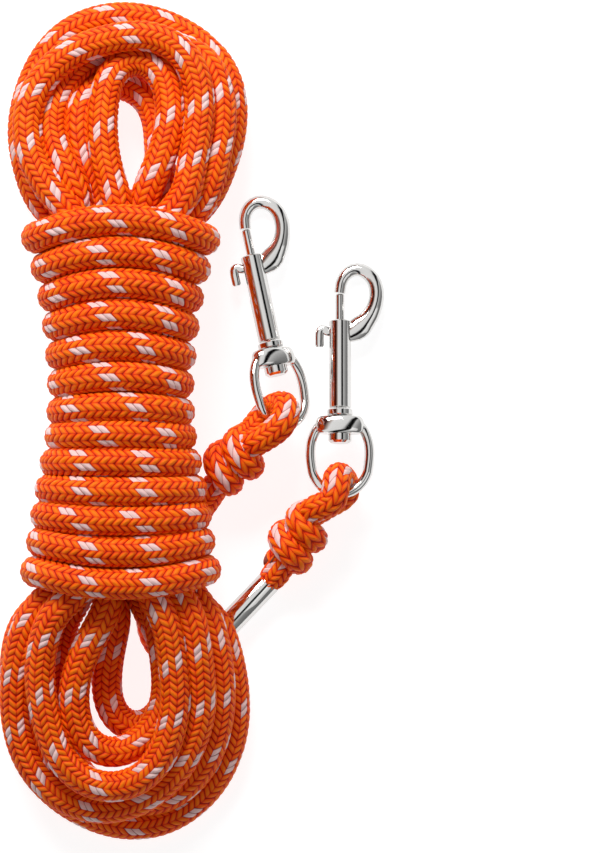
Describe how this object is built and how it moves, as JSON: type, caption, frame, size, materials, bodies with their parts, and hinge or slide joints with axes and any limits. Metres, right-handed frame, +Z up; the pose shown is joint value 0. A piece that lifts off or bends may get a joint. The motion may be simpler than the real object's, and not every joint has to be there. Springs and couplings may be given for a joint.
{
  "type": "training leash",
  "caption": "Braided rope leash wound into a hank with wrapped waist and looped ends, with a sprung swivel bolt snap knotted to each rope end.",
  "frame": {"origin": "centre of the footprint, on the surface the leash lies on", "axes": "+Y along the hank towards its upper loops, +X towards the snaps, +Z up from the surface"},
  "size_m": [0.1378, 0.2992, 0.05],
  "materials": {
    "rope": "glossy filament braid, orange with light tracer strands",
    "chrome": "polished",
    "spring": "drawn wire"
  },
  "bodies": {
    "rope": {"hank_waist": "rope", "hank_top_loops": "rope", "hank_bottom_loops": "rope", "left_tail": "rope", "right_neck": "rope", "right_tail": "rope", "rope_in_ferrule": "rope", "left_knot": "rope", "right_knot": "rope", "left_bight": "rope", "right_bight": "rope", "ferrule": "chrome"},
    "eye_left": {"swivel_eye_left": "chrome"},
    "snap_left": {"snap_body_left": "chrome", "swivel_stud_left": "chrome", "swivel_washer_left": "chrome", "return_spring_left": "spring"},
    "bolt_left": {"latch_bolt_left": "chrome", "thumb_lug_left": "chrome"},
    "eye_right": {"swivel_eye_right": "chrome"},
    "snap_right": {"snap_body_right": "chrome", "swivel_stud_right": "chrome", "swivel_washer_right": "chrome", "return_spring_right": "spring"},
    "bolt_right": {"latch_bolt_right": "chrome", "thumb_lug_right": "chrome"}
  },
  "joints": [
    {"name": "eye_swing_left", "type": "hinge", "parent": "rope", "child": "eye_left", "pos_m": [0.0291, -0.00051, 0.01816], "axis": [0.7495, -0.5362, -0.3883], "range_deg": [0, 35]},
    {"name": "swivel_left", "type": "hinge", "parent": "eye_left", "child": "snap_left", "pos_m": [0.0343, -0.0021, 0.0148], "axis": [-0.2091, 0.9669, -0.1461], "continuous": true},
    {"name": "bolt_slide_left", "type": "slide", "parent": "snap_left", "child": "bolt_left", "axis": [0.2091, -0.9669, 0.1461], "range_m": [0, 0.0092], "stiffness_N_per_m": 250, "springref_m": -0.008, "deforming": ["return_spring_left"]},
    {"name": "eye_swing_right", "type": "hinge", "parent": "rope", "child": "eye_right", "pos_m": [0.05482, -0.02662, 0.01477], "axis": [0.9809, 0.1923, -0.0284], "range_deg": [0, 35]},
    {"name": "swivel_right", "type": "hinge", "parent": "eye_right", "child": "snap_right", "pos_m": [0.053, -0.0268, 0.0148], "axis": [0, 0.9893, -0.1461], "continuous": true},
    {"name": "bolt_slide_right", "type": "slide", "parent": "snap_right", "child": "bolt_right", "axis": [0, -0.9893, 0.1461], "range_m": [0, 0.0092], "stiffness_N_per_m": 250, "springref_m": -0.008, "deforming": ["return_spring_right"]}
  ]
}
